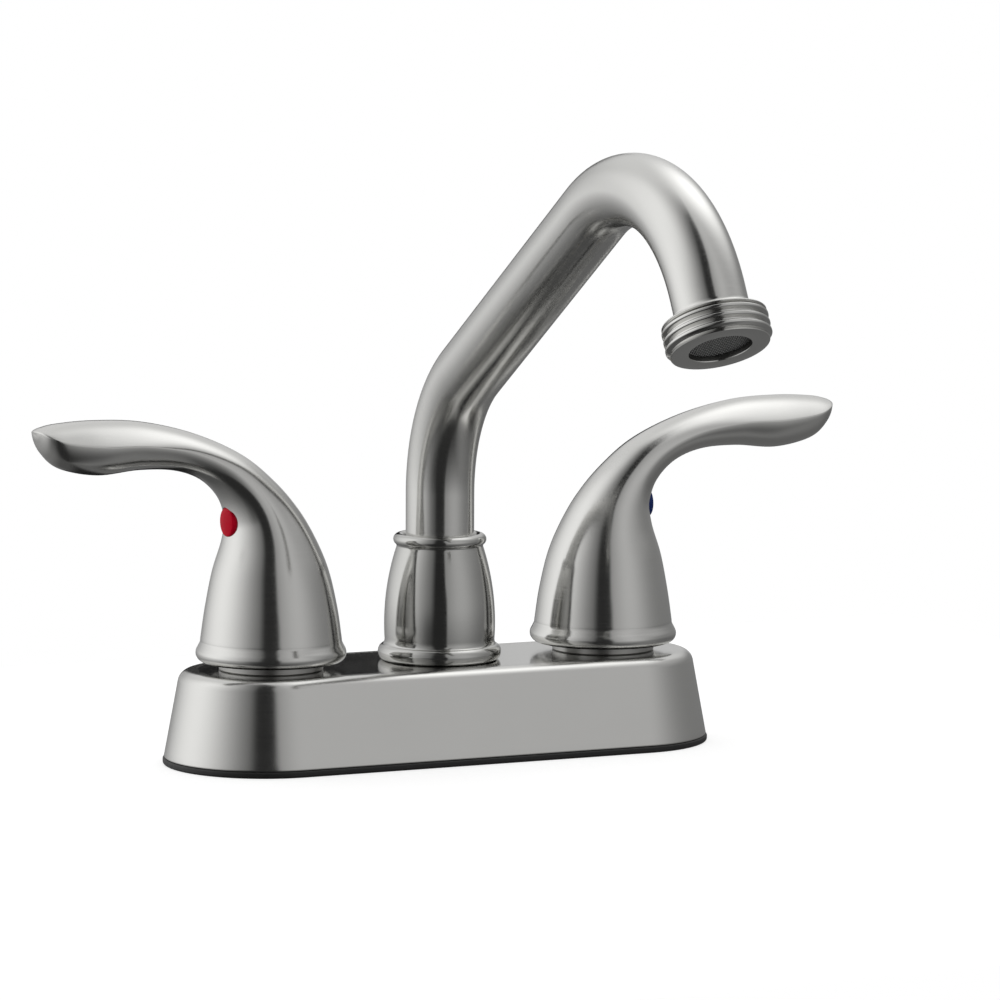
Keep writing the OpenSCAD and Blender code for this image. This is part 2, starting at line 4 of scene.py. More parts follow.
import bpy
from mathutils import Matrix, Vector


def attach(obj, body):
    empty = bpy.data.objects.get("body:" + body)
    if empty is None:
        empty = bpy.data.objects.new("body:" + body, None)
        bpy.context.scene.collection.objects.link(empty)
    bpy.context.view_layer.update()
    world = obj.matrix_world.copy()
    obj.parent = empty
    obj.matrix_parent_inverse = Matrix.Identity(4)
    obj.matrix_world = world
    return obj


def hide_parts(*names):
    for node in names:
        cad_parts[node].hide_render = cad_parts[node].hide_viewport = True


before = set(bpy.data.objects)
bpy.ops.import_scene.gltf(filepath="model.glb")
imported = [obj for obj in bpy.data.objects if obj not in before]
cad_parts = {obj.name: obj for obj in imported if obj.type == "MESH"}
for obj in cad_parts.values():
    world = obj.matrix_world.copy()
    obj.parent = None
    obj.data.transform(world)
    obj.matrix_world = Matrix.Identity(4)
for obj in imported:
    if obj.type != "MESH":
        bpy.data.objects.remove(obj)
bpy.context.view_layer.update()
scene = bpy.context.scene
MM = 0.001

# Sizes in millimetres and degrees, the same as in the part's source

# Base cover, gasket and collar nuts
VALVE = 50.8
BASE_LEN = 160.8
BASE_W = 56.2
BASE_H = 25.9
DRAFT = 10.5
EDGE_R = 3.6
GASKET_T = 1.8
GASKET_PROUD = 0.3
COLLAR_R = 14.35
COLLAR_H = 4.4

# Handles and buttons
TOE = 3.4
HANDLE_Z = 28.1
BEAD_R = 20.7
BEAD_ROUND = 2.5
BEAD_SWEEP = 35
BELL_R = 19.3
NECK_H = 39.0
NECK_OUT = 13.1
HANDLE_H = 68.5
REACH = 70.0
PADDLE = 9.0
SLIM = 7.8
BUTTON_R = 4.0
BUTTON_DOME = 0.4
BUTTON_PROUD = 0.5
BUTTON_DEPTH = 3.4

# Hub
HUB_H = 35.3
HUB_R = 15.45
HUB_CURVE_R = 70
HUB_WIDE_H = 10.1
HUB_BEAD_R = 17.2
HUB_BEAD_ROUND = 2.3
HUB_FOOT_ROUND = 1.5
HUB_SHOULDER = 65
HUB_COVE = 55
HUB_COVE_R = 1.2
HUB_RING_R = 12.95
HUB_RING_ROUND = 1.65

# Spout tube
TUBE_R = 9.525
TUBE_BORE = 8.325
TUBE_Z = 42.4
RISER_H = 72.3
LOW_R = 41.6
ARM_ANGLE = 31.8
ARM_LEN = 90.0
TOP_R = 45.0
OUT_ANGLE = 62.0

# Hose outlet and screen
OUTLET_LEN = 15.0
ADAPTER_LEN = 10.2
ADAPTER_LIP = 0.5
HOSE_R = 13.5
HOSE_PITCH = 2.209
HOSE_THREAD = 1.1
THREAD_SLOPE = 30
CRESTS = 3
CREST_W = 0.7
FACE_EDGE = 0.8
HOLE_R = 7.95
SCREEN_DEPTH = 1.5
SCREEN_T = 0.6
SCREEN_WASHER_T = 1.2
SEAT_GAP = 0.03

SIDES = (("hot", -1), ("cold", 1))


def cosd(angle):
    return math.cos(math.radians(angle))


def sind(angle):
    return math.sin(math.radians(angle))


def arc(cx, cz, r, a, b, n):
    """Points of an arc from angle a to angle b, in n steps."""
    angles = [a + (b - a) * i / n for i in range(n + 1)]
    return [(cx + r * cosd(angle), cz + r * sind(angle)) for angle in angles]


def smooth(x, a, b):
    """Soft step from 0 at a to 1 at b."""
    t = min(1.0, max(0.0, (x - a) / (b - a)))
    return t * t * (3 - 2 * t)


def bell(x, middle, width):
    return math.exp(-((x - middle) / width) ** 2)


def axes_matrix(x, y, z, at):
    """Frame with these three axes at a place."""
    return Matrix(((x.x, y.x, z.x, at.x), (x.y, y.y, z.y, at.y), (x.z, y.z, z.z, at.z), (0, 0, 0, 1)))


# Materials

NICKEL = (0.635, 0.632, 0.615)
HUB_NICKEL = (0.52, 0.518, 0.503)
# The collar nuts' darker nickel is painted shade, for the shade that falls under the handles' bells
COLLAR_SHADE_NICKEL = (0.44, 0.438, 0.425)
BRUSH_PER_MM = 5.0
BRUSH_SCALE = 1.3
BRUSH_GLOSS = 0.05
BRUSH_TONE = 0.05
BRUSH_DEPTH = 0.00006
BRUSH_ACROSS = 0.25
CLOUD_SCALE = 55.0
CLOUD_GLOSS = 0.015
GRAIN_GLOSS = 0.06
GRAIN_DEPTH = 0.0001


def link(tree, a, b):
    tree.links.new(a, b)


def new_material(name):
    m = bpy.data.materials.new(name)
    m.use_nodes = True
    return m, m.node_tree, m.node_tree.nodes["Principled BSDF"]


def math_node(tree, kind, a, b=None):
    n = tree.nodes.new("ShaderNodeMath")
    n.operation = kind
    for i, v in enumerate((a, b)):
        if v is None:
            continue
        if isinstance(v, (int, float)):
            n.inputs[i].default_value = v
        else:
            link(tree, v, n.inputs[i])
    return n.outputs[0]


def noise(tree, vector, scale, detail=2.0, rough=0.5):
    n = tree.nodes.new("ShaderNodeTexNoise")
    n.inputs["Scale"].default_value = scale
    n.inputs["Detail"].default_value = detail
    n.inputs["Roughness"].default_value = rough
    link(tree, vector, n.inputs["Vector"])
    return n.outputs["Fac"]


def remap(tree, value, lo, hi, a=0.3, b=0.7):
    n = tree.nodes.new("ShaderNodeMapRange")
    link(tree, value, n.inputs["Value"])
    for key, v in (("From Min", a), ("From Max", b), ("To Min", lo), ("To Max", hi)):
        n.inputs[key].default_value = v
    return n.outputs["Result"]


def two_tone(tree, shader, factor, dark, light):
    n = tree.nodes.new("ShaderNodeMix")
    n.data_type = "RGBA"
    link(tree, factor, n.inputs["Factor"])
    n.inputs["A"].default_value = (*dark, 1)
    n.inputs["B"].default_value = (*light, 1)
    link(tree, n.outputs["Result"], shader.inputs["Base Color"])


def bump(tree, shader, height, strength, distance):
    n = tree.nodes.new("ShaderNodeBump")
    n.inputs["Strength"].default_value = strength
    n.inputs["Distance"].default_value = distance
    link(tree, height, n.inputs["Height"])
    link(tree, n.outputs["Normal"], shader.inputs["Normal"])


def brush_lines(tree):
    """Noise drawn out round the piece: UV x goes round once, UV y is in mm along it."""
    uv = tree.nodes.new("ShaderNodeUVMap")
    uv.uv_map = "UVMap"
    split = tree.nodes.new("ShaderNodeSeparateXYZ")
    link(tree, uv.outputs["UV"], split.inputs[0])
    turn = math_node(tree, "MULTIPLY", split.outputs["X"], 2 * math.pi)
    join = tree.nodes.new("ShaderNodeCombineXYZ")
    link(tree, math_node(tree, "COSINE", turn), join.inputs["X"])
    link(tree, math_node(tree, "SINE", turn), join.inputs["Y"])
    link(tree, math_node(tree, "MULTIPLY", split.outputs["Y"], BRUSH_PER_MM), join.inputs["Z"])
    return noise(tree, join.outputs[0], BRUSH_SCALE, 3.0, 0.7)


def brushed(name, rough, aniso, lines, tint=NICKEL):
    """Satin nickel with fine brush lines that run round the piece."""
    m, tree, shader = new_material(name)
    streaks = brush_lines(tree)
    where = tree.nodes.new("ShaderNodeTexCoord")
    cloud = noise(tree, where.outputs["Object"], CLOUD_SCALE)
    streak_gloss = remap(tree, streaks, rough - BRUSH_GLOSS, rough + BRUSH_GLOSS)
    cloud_gloss = remap(tree, cloud, -CLOUD_GLOSS, CLOUD_GLOSS)
    link(tree, math_node(tree, "ADD", streak_gloss, cloud_gloss), shader.inputs["Roughness"])
    dark = [c * (1 - BRUSH_TONE) for c in tint]
    light = [c * (1 + BRUSH_TONE) for c in tint]
    two_tone(tree, shader, streaks, dark, light)
    shader.inputs["Metallic"].default_value = 1.0
    shader.inputs["Anisotropic"].default_value = aniso
    shader.inputs["Anisotropic Rotation"].default_value = BRUSH_ACROSS
    tangent = tree.nodes.new("ShaderNodeTangent")
    tangent.direction_type = "UV_MAP"
    tangent.uv_map = "UVMap"
    link(tree, tangent.outputs["Tangent"], shader.inputs["Tangent"])
    bump(tree, shader, streaks, lines, BRUSH_DEPTH)
    return m


def mottled(name, dark, light, rough, scale, metallic=0.0, shine=0.5, height=0.1):
    """Moulded, cast or turned surface: two close tones, uneven gloss and a fine grain."""
    m, tree, shader = new_material(name)
    where = tree.nodes.new("ShaderNodeTexCoord")
    grain = noise(tree, where.outputs["Object"], scale, 3.0)
    two_tone(tree, shader, grain, dark, light)
    link(tree, remap(tree, grain, rough - GRAIN_GLOSS, rough + GRAIN_GLOSS), shader.inputs["Roughness"])
    shader.inputs["Metallic"].default_value = metallic
    shader.inputs["Specular IOR Level"].default_value = shine
    bump(tree, shader, grain, height, GRAIN_DEPTH)
    return m


nickel_base = brushed("nickel_base", rough=0.2, aniso=0.6, lines=0.1)
nickel_handle = brushed("nickel_handle", rough=0.17, aniso=0.6, lines=0.1)
nickel_top = brushed("nickel_top", rough=0.12, aniso=0.3, lines=0.03)
nickel_hub = brushed("nickel_hub", rough=0.13, aniso=0.5, lines=0.03, tint=HUB_NICKEL)
nickel_tube = brushed("nickel_tube", rough=0.19, aniso=0.7, lines=0.03)
nickel_outlet = brushed("nickel_outlet", rough=0.14, aniso=0.4, lines=0.04)
# Collar nuts: the darker tint is painted shade from the bells above them
nickel_collar = brushed("nickel_collar", rough=0.36, aniso=0.3, lines=0.03, tint=COLLAR_SHADE_NICKEL)
# Dark metal for the wall of the outlet's hole: painted shade inside the hole
bore_metal = mottled("bore_metal", (0.12, 0.12, 0.116), (0.18, 0.18, 0.174), 0.4, 1500.0, metallic=1.0)
rubber = mottled("black_rubber", (0.008, 0.008, 0.008), (0.02, 0.02, 0.02), 0.5, 900.0)
black_plastic = mottled("black_plastic", (0.012, 0.012, 0.013), (0.028, 0.028, 0.03), 0.42, 1500.0)
white_plastic = mottled("white_plastic", (0.74, 0.73, 0.69), (0.84, 0.83, 0.8), 0.45, 1200.0)
ceramic = mottled("white_ceramic", (0.84, 0.83, 0.79), (0.93, 0.92, 0.89), 0.15, 2500.0)
brass = mottled("brass", (0.62, 0.45, 0.2), (0.76, 0.58, 0.29), 0.3, 700.0, metallic=1.0)
steel = mottled("steel", (0.42, 0.42, 0.42), (0.58, 0.58, 0.57), 0.28, 1800.0, metallic=1.0)
red = mottled("red_plastic", (0.78, 0.002, 0.026), (0.88, 0.003, 0.034), 0.35, 1500.0,
              shine=0.05, height=0.03)
blue = mottled("blue_plastic", (0.004, 0.022, 0.15), (0.007, 0.034, 0.2), 0.33, 1500.0,
               shine=0.2, height=0.03)

# Materials of the CAD nodes. A kind without hot_ or cold_ stands for both, and the rest are nickel
KINDS = (
    (rubber, ("base_gasket", "cartridge_o_ring", "stem_o_ring", "seat_seal", "spout_o_rings",
              "screen_washer")),
    (brass, ("waterway_body", "shank", "bonnet_nut", "cartridge", "stem", "spout_stem")),
    (steel, ("set_screw", "outlet_screen")),
    (ceramic, ("fixed_disc", "moving_disc")),
    (white_plastic, ("spout_bushing", "spout_washer")),
    (black_plastic, ("mounting_nut",)),
)
node_materials = {kind: material for material, kinds in KINDS for kind in kinds}
button_materials = {"hot": red, "cold": blue}

for node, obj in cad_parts.items():
    bare = node.replace("hot_", "").replace("cold_", "")
    if bare == "index_button":
        use = button_materials[node.split("_")[0]]
    else:
        use = node_materials.get(bare, nickel_base)
    obj.data.materials.clear()
    obj.data.materials.append(use)


# Mesh helpers

def in_metres(points):
    return [tuple(c * MM for c in p) for p in points]


def piece(name, points, faces, uvs, material, body, slot, node, sharp=None):
    """Mesh from points in mm, riding on a body in place of a CAD node.

    uvs gives one UV for each face corner. Edges over sharp degrees are shaded as edges.
    """
    mesh = bpy.data.meshes.new(name)
    mesh.from_pydata(in_metres(points), [], faces)
    layer = mesh.uv_layers.new(name="UVMap")
    layer.data.foreach_set("uv", [c for corner in uvs for c in corner])
    mesh.polygons.foreach_set("use_smooth", [True] * len(mesh.polygons))
    if sharp:
        mesh.set_sharp_from_angle(angle=math.radians(sharp))
    obj = bpy.data.objects.new(name, mesh)
    scene.collection.objects.link(obj)
    mesh.materials.append(material)
    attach(obj, body)
    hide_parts(node)
    return obj


def lengths_along(rows):
    """Distance of each ring from the first, measured along the skin at every eighth point."""
    along = [0.0]
    for a, b in zip(rows, rows[1:]):
        step = max((Vector(q) - Vector(p)).length for p, q in zip(a[::8], b[::8]))
        along.append(along[-1] + step)
    return along


def skin(rows, cap_start=False, cap_end=False, closed=False):
    """Points, faces and UVs of rings joined one to the next. A ring is a list of points in mm.

    closed also joins the last ring to the first.
    """
    n = len(rows[0])
    last = len(rows) - 1
    points = [p for ring in rows for p in ring]
    along = lengths_along(rows)
    bands = [(k, k + 1, along[k], along[k + 1]) for k in range(last)]
    if closed:
        bands.append((last, 0, along[last], along[last] + 1))
    faces = []
    uvs = []
    for k, m, v0, v1 in bands:
        for i in range(n):
            j = (i + 1) % n
            u0, u1 = i / n, (i + 1) / n
            faces.append((k * n + i, k * n + j, m * n + j, m * n + i))
            uvs += [(u0, v0), (u1, v0), (u1, v1), (u0, v1)]
    for wanted, first, order in ((cap_start, 0, -1), (cap_end, last * n, 1)):
        if wanted:
            ids = list(range(first, first + n))[::order]
            faces.append(tuple(ids))
            uvs += [(points[i][0], points[i][1]) for i in ids]
    return points, faces, uvs


def turned(profile, place=None, n=128, **kw):
    """Skin of a profile of (radius, height) turned about the Z axis, then moved by a matrix in mm."""
    rows = []
    for r, z in profile:
        angles = [2 * math.pi * i / n for i in range(n)]
        ring = [Vector((r * math.cos(a), r * math.sin(a), z)) for a in angles]
        rows.append([tuple(place @ p) if place else tuple(p) for p in ring])
    return skin(rows, **kw)


def stadium_ring(r, z, n=56, straight=40):
    """Ring round the base at distance r from its spine, anticlockwise from above."""
    half = (BASE_LEN - BASE_W) / 2
    ring = []
    for side in (1, -1):
        for i in range(n):
            a = -90 + 180 * i / n
            ring.append((side * (half + r * cosd(a)), side * r * sind(a), z))
        for i in range(straight):
            ring.append((side * (half - 2 * half * i / straight), side * r, z))
    return ring


# Base cover: eased foot, drafted side, rounded edge and flat top

FOOT_R = BASE_W / 2
FOOT_EASE = ((1.6, 0.0), (0.45, 0.0), (0.22, 0.08), (0.08, 0.25))
SIDE_HEIGHTS = (GASKET_T + 0.55, 4.0, 7.0, 11.0, 15.0, 19.0)
TOP_INSETS = (0.5, 2.0)


def base_cover():
    lean = math.tan(math.radians(DRAFT))
    edge_z = BASE_H - EDGE_R
    edge_r = FOOT_R - (edge_z - GASKET_T) * lean - EDGE_R / cosd(DRAFT)
    cover = [(FOOT_R - inset, GASKET_T + up) for inset, up in FOOT_EASE]
    cover += [(FOOT_R - (z - GASKET_T) * lean, z) for z in SIDE_HEIGHTS]
    cover += arc(edge_r, edge_z, EDGE_R, DRAFT, 90, 20)
    cover += [(edge_r - inset, BASE_H) for inset in TOP_INSETS]
    obj = piece("base_cover", *skin([stadium_ring(r, z) for r, z in cover], cap_end=True),
                nickel_base, "base", "satin_nickel", "escutcheon")
    obj.data.materials.append(nickel_top)
    obj.data.polygons[-1].material_index = 1


# Gasket plate under the cover, with both edges rounded

PAD_INSET = 6
PAD_FOOT_FLAT = 0.8
PAD_FOOT_ROUND = 0.7
PAD_TOP_ROUND = 0.5
PAD_TOP_FLAT = 1.0


def base_pad():
    rim = FOOT_R + GASKET_PROUD
    pad = [(rim - PAD_INSET, 0.0), (rim - PAD_FOOT_FLAT, 0.0)]
    pad += arc(rim - PAD_FOOT_ROUND, PAD_FOOT_ROUND, PAD_FOOT_ROUND, -85, 0, 8)
    pad += arc(rim - PAD_TOP_ROUND, GASKET_T - PAD_TOP_ROUND, PAD_TOP_ROUND, 0, 85, 6)
    pad += [(rim - PAD_TOP_FLAT, GASKET_T), (rim - PAD_INSET, GASKET_T)]
    piece("base_pad", *skin([stadium_ring(r, z) for r, z in pad], cap_start=True, cap_end=True),
          rubber, "base", "black_rubber", "base_gasket", sharp=50)


# Hub: foot bead, cove, barrel and top ring, then down into the mouth. Heights are above the base

HUB_FOOT_IN = 11.6
HUB_FOOT_OUT = 15.6
HUB_COVE_AT = (16.55, 5.37)
BARREL_FROM = 5.7
BARREL_TO = 31.6
BARREL_STEPS = 40
RING_FOOT = (12.02, 31.85)
MOUTH_R = 9.9
MOUTH_FROM = 1.3
MOUTH_TO = 6


def hub_shell():
    hub = [(HUB_FOOT_IN, 0.0), (HUB_FOOT_OUT, 0.0)]
    for c, s in arc(0, 0, 1, -88, 0, 14):
        hub.append((HUB_BEAD_R - HUB_FOOT_ROUND + HUB_FOOT_ROUND * c, HUB_BEAD_ROUND * (1 + s)))
    hub += arc(HUB_BEAD_R - HUB_BEAD_ROUND, HUB_BEAD_ROUND, HUB_BEAD_ROUND, 4, HUB_SHOULDER, 14)
    hub += arc(*HUB_COVE_AT, HUB_COVE_R, 180 + HUB_COVE, 180, 12)
    for i in range(BARREL_STEPS + 1):
        z = BARREL_FROM + (BARREL_TO - BARREL_FROM) * i / BARREL_STEPS
        bulge = math.sqrt(HUB_CURVE_R ** 2 - (z - HUB_WIDE_H) ** 2)
        hub.append((HUB_R - HUB_CURVE_R + bulge, z))
    hub.append(RING_FOOT)
    hub += arc(HUB_RING_R - HUB_RING_ROUND, HUB_H - HUB_RING_ROUND, HUB_RING_ROUND, -58, 150, 30)
    hub += [(MOUTH_R, HUB_H - MOUTH_FROM), (MOUTH_R, HUB_H - MOUTH_TO)]
    piece("hub_shell", *turned([(r, BASE_H + z) for r, z in hub], n=160),
          nickel_hub, "base", "satin_nickel", "spout_hub", sharp=48)


# Collar nuts under the handles

COLLAR_FOOT_IN = 12.0
COLLAR_TOP_IN = 11.1
COLLAR_BEVEL = 0.35
COLLAR_FOOT_BEVEL_H = 0.3
COLLAR_TOP_BEVEL_H = 0.4


def collar(name, side):
    flat_r = COLLAR_R - COLLAR_BEVEL
    nut = [(COLLAR_FOOT_IN, 0.0), (flat_r, 0.0), (COLLAR_R, COLLAR_FOOT_BEVEL_H),
           (COLLAR_R, COLLAR_H - COLLAR_TOP_BEVEL_H), (flat_r, COLLAR_H), (COLLAR_TOP_IN, COLLAR_H)]
    place = Matrix.Translation((side * VALVE, 0, 0))
    piece(name + "_collar", *turned([(r, BASE_H + z) for r, z in nut], place, n=96),
          nickel_collar, "base", "satin_nickel", name + "_collar_nut", sharp=30)


# Handles: rings through the same stations as the solid. u runs out from the valve's axis along the
# lever. top is the edge that becomes the top of the lever, and low the edge that becomes its underside.
# widest is where between them the ring has its half width, and a peak over 1 draws that half to a ridge

Station = namedtuple("Station", "top_u top_z low_u low_z half_w widest top_peak low_peak")


def rise(share):
    return NECK_H + (HANDLE_H - NECK_H) * share


def out(share):
    return REACH * share


def round_station(r, z):
    return Station(-r, z, r, z, r, 0.5, 1, 1)


STATIONS = [
    round_station(BELL_R + 0.55, 4.7),
    round_station(BELL_R + 0.17, 5.6),
    round_station(BELL_R, 7.1),
    round_station(BELL_R * 0.94, NECK_H * 0.385),
    Station(-BELL_R * 0.82, NECK_H * 0.64, BELL_R * 0.84, NECK_H * 0.64, BELL_R * 0.83, 0.5, 1, 1),
    Station(-BELL_R * 0.64, NECK_H * 0.854, NECK_OUT + 0.5, NECK_H * 0.859, BELL_R * 0.69, 0.5, 1, 1),
    Station(-BELL_R * 0.38, NECK_H * 1.07, NECK_OUT, NECK_H * 1.015, BELL_R * 0.57, 0.5, 1, 1),
    Station(0, rise(0.374), NECK_OUT + 2.2, rise(0.225), SLIM + 1.5, 0.5, 1, 1),
    Station(out(0.14), rise(0.634), out(0.3), rise(0.405), SLIM + 0.4, 0.5, 1, 1),
    Station(out(0.34), rise(0.844), out(0.42), rise(0.505), SLIM, 0.48, 1.3, 1),
    Station(out(0.56), rise(0.97), out(0.575), rise(0.525), PADDLE - 0.6, 0.46, 1.85, 1),
    Station(out(0.76), rise(1), out(0.745), rise(0.495), PADDLE, 0.43, 1.9, 1),
    Station(out(0.91), rise(0.983), out(0.893), rise(0.565), PADDLE * 0.88, 0.38, 1.9, 0.95),
    Station(out(0.972), rise(0.955), out(0.96), rise(0.69), PADDLE * 0.66, 0.3, 1.8, 0.9),
    Station(out(0.995), rise(0.932), out(0.992), rise(0.83), PADDLE * 0.32, 0.22, 1.5, 0.9),
    Station(out(1), rise(0.915), out(0.998), rise(0.895), PADDLE * 0.06, 0.2, 1.2, 1),
]
STATION_STEPS = 9
BELL_INSIDE = ((12.8, 24.0), (14.6, 12.0), (16.2, 0.6), (16.5, 0.0))


def blend(p, q, r, s, f):
    """Share f of the way from q to r on a smooth curve through p, q, r and s."""
    square = 2 * p - 5 * q + 4 * r - s
    cube = 3 * q - p - 3 * r + s
    return 0.5 * (2 * q + (r - p) * f + square * f * f + cube * f ** 3)


def station_at(t):
    """Station on the curve through all of them, where t counts them from 0."""
    last = len(STATIONS) - 1
    i = min(int(t), last - 1)
    around = [STATIONS[max(0, min(last, k))] for k in range(i - 1, i + 3)]
    return Station(*[blend(*values, t - i) for values in zip(*around)])


def handle_ring(s, n=112):
    mid_u = s.top_u * (1 - s.widest) + s.low_u * s.widest
    mid_z = s.top_z * (1 - s.widest) + s.low_z * s.widest
    ring = []
    for i in range(n):
        a = 2 * math.pi * i / n
        if math.sin(a) > 0:
            to_u, to_z, peak = s.top_u, s.top_z, s.top_peak
        else:
            to_u, to_z, peak = s.low_u, s.low_z, s.low_peak
        k = abs(math.sin(a)) ** peak
        ring.append(Vector((mid_u + (to_u - mid_u) * k, s.half_w * math.cos(a), mid_z + (to_z - mid_z) * k)))
    return ring


def handle_stations():
    """From inside the bell, round the bead at its foot and up to the tip of the lever."""
    bead = arc(BEAD_R - BEAD_ROUND, BEAD_ROUND, BEAD_ROUND, -90, BEAD_SWEEP, 14)
    stations = [round_station(r, z) for r, z in (*BELL_INSIDE, *bead)]
    steps = (len(STATIONS) - 1) * STATION_STEPS
    return stations + [station_at(i / STATION_STEPS) for i in range(steps + 1)]


SEAT_PAST = 5
LEVER_SHARP = 42


def cut_seat(lever, name, axis):
    """Cuts the button's round seat out of a lever."""
    mesh = bpy.data.meshes.new(name)
    seat = [(BUTTON_R + SEAT_GAP, NECK_OUT - BUTTON_DEPTH), (BUTTON_R + SEAT_GAP, NECK_OUT + SEAT_PAST)]
    points, faces, _ = turned(seat, axis, n=64, cap_start=True, cap_end=True)
    mesh.from_pydata(in_metres(points), [], faces)
    cutter = bpy.data.objects.new(name, mesh)
    scene.collection.objects.link(cutter)
    cut = lever.modifiers.new("cut", "BOOLEAN")
    cut.object = cutter
    cut.solver = "EXACT"
    bpy.context.view_layer.update()
    depsgraph = bpy.context.evaluated_depsgraph_get()
    done = bpy.data.meshes.new_from_object(lever.evaluated_get(depsgraph))
    lever.modifiers.clear()
    lever.data = done
    done.set_sharp_from_angle(angle=math.radians(LEVER_SHARP))
    bpy.data.objects.remove(cutter)


BUTTON_EDGE = 0.3
BUTTON_EDGE_DROP = 0.25


def button_profile():
    """Round plug with an eased rim and a low dome."""
    rim = NECK_OUT + BUTTON_PROUD
    ball = (BUTTON_R ** 2 + BUTTON_DOME ** 2) / (2 * BUTTON_DOME)
    sweep = math.degrees(math.asin(BUTTON_R / ball))
    plug = [(BUTTON_R, NECK_OUT - BUTTON_DEPTH)]
    plug += arc(BUTTON_R - BUTTON_EDGE, rim - BUTTON_EDGE_DROP, BUTTON_EDGE, 0, 68, 6)
    plug += arc(0, rim + BUTTON_DOME - ball, ball, 90 - sweep * 0.9, 90.5 - sweep * 0.02, 16)
    return plug


def handle(name, side):
    turn = math.radians(180 + TOE if side < 0 else -TOE)
    place = Matrix.Translation((side * VALVE, 0, HANDLE_Z)) @ Matrix.Rotation(turn, 4, "Z")
    axis = place @ Matrix.Translation((0, 0, NECK_H)) @ Matrix.Rotation(math.radians(90), 4, "Y")
    body = name + "_valve"
    rings = [[tuple(place @ p) for p in handle_ring(s)] for s in handle_stations()]
    lever = piece(name + "_lever", *skin(rings, cap_start=True, cap_end=True),
                  nickel_handle, body, "satin_nickel", name + "_handle")
    cut_seat(lever, name + "_drill", axis)
    piece(name + "_button", *turned(button_profile(), axis, n=72, cap_start=True, cap_end=True),
          button_materials[name], body, "red_plastic" if side < 0 else "blue_plastic",
          name + "_index_button", sharp=50)


# Spout: circles along the riser, the lower bend, the arm and the upper bend

RISER_HEIGHTS = (TUBE_Z, 50, 57, 64)
LOW_STEPS = 30
ARM_SHARES = (0.02, 0.2, 0.4, 0.6, 0.8, 0.98)
TOP_STEPS = 44
TUBE_END = OUTLET_LEN - SCREEN_DEPTH - SCREEN_T - SCREEN_WASHER_T


def spout_line():
    """Middle line up to the end of the upper bend: (out, height), and the heading above level."""
    line = [((0.0, z), 90.0) for z in RISER_HEIGHTS]
    for i in range(LOW_STEPS + 1):
        t = (90 - ARM_ANGLE) * i / LOW_STEPS
        line.append(((LOW_R * (1 - cosd(t)), RISER_H + LOW_R * sind(t)), 90 - t))
    (u, z), _ = line[-1]
    arm_u = cosd(ARM_ANGLE) * ARM_LEN
    arm_z = sind(ARM_ANGLE) * ARM_LEN
    line += [((u + arm_u * f, z + arm_z * f), ARM_ANGLE) for f in ARM_SHARES]
    for i in range(TOP_STEPS + 1):
        h = ARM_ANGLE - (ARM_ANGLE + OUT_ANGLE) * i / TOP_STEPS
        bend_u = TOP_R * (sind(ARM_ANGLE) - sind(h))
        bend_z = TOP_R * (cosd(h) - cosd(ARM_ANGLE))
        line.append(((u + arm_u + bend_u, z + arm_z + bend_z), h))
    return line


def tube_ring(at, heading, r, n=112):
    u, z = at
    ring = []
    for i in range(n):
        a = 2 * math.pi * i / n
        up = r * math.sin(a)
        ring.append((r * math.cos(a), -(u - sind(heading) * up), z + cosd(heading) * up))
    return ring


def tube_skin(bends):
    (u, z), _ = bends[-1]
    end = [((u + cosd(OUT_ANGLE) * w, z - sind(OUT_ANGLE) * w), -OUT_ANGLE) for w in (0.3, 4.0, TUBE_END)]
    line = bends + end
    outside = [tube_ring(at, h, TUBE_R) for at, h in line]
    inside = [tube_ring(at, h, TUBE_BORE) for at, h in line[::-1]]
    piece("tube_skin", *skin(outside + inside, closed=True),
          nickel_tube, "spout", "satin_nickel", "spout_tube", sharp=60)


# Hose outlet, in a frame with +Z out of the outlet. The pairs give how far a point lies inside the
# crests or past the hole's edge, and how far before the thread or behind the face

FLANGE_T = 0.7
FLANGE_EDGE = ((0.45, 0.65), (0.27, 0.52), (0.2, 0.4), (0.2, 0.25), (0.32, 0.15))
FACE_RIM = ((1.05, 0.7), (0.85, 0.3), (0.95, 0.08), (1.2, 0.0))
HOLE_RIM = ((0.35, 0.0), (0.1, 0.08), (0.0, 0.3))
OUTLET_SIDES = 128


def outlet_frame(bends):
    (u, z), _ = bends[-1]
    forward = Vector((0, -cosd(OUT_ANGLE), -sind(OUT_ANGLE)))
    across = Vector((1, 0, 0))
    return axes_matrix(across, forward.cross(across), forward, Vector((0, -u, z)))


def thread_ridge(z):
    """One ridge of the hose thread with eased corners, from height z."""
    flank = HOSE_THREAD * math.tan(math.radians(THREAD_SLOPE))
    up = [(HOSE_THREAD, 0.05), (HOSE_THREAD - 0.1, 0.12), (0.15, flank - 0.08), (0.03, flank + 0.04),
          (0.0, flank + 0.15)]
    down = [(inset, 2 * flank + CREST_W - h) for inset, h in up[::-1]]
    return [(HOSE_R - inset, z + h) for inset, h in up + down]


def outlet_profile():
    start = OUTLET_LEN - ADAPTER_LEN
    first = OUTLET_LEN - FACE_EDGE - CRESTS * HOSE_PITCH
    fillet = first - start - FLANGE_T
    seat_r = TUBE_R + SEAT_GAP
    shell = [(seat_r, start)]
    shell += arc(seat_r + ADAPTER_LIP + fillet, start, fillet, 180, 100, 12)
    shell += [(HOSE_R - inset, first - before) for inset, before in FLANGE_EDGE]
    for i in range(CRESTS):
        shell += thread_ridge(first + i * HOSE_PITCH)
    shell += [(HOSE_R - inset, OUTLET_LEN - behind) for inset, behind in FACE_RIM]
    shell += [(HOLE_R + past, OUTLET_LEN - behind) for past, behind in HOLE_RIM]
    return shell + [(HOLE_R, OUTLET_LEN - SCREEN_DEPTH), (seat_r, OUTLET_LEN - SCREEN_DEPTH)]


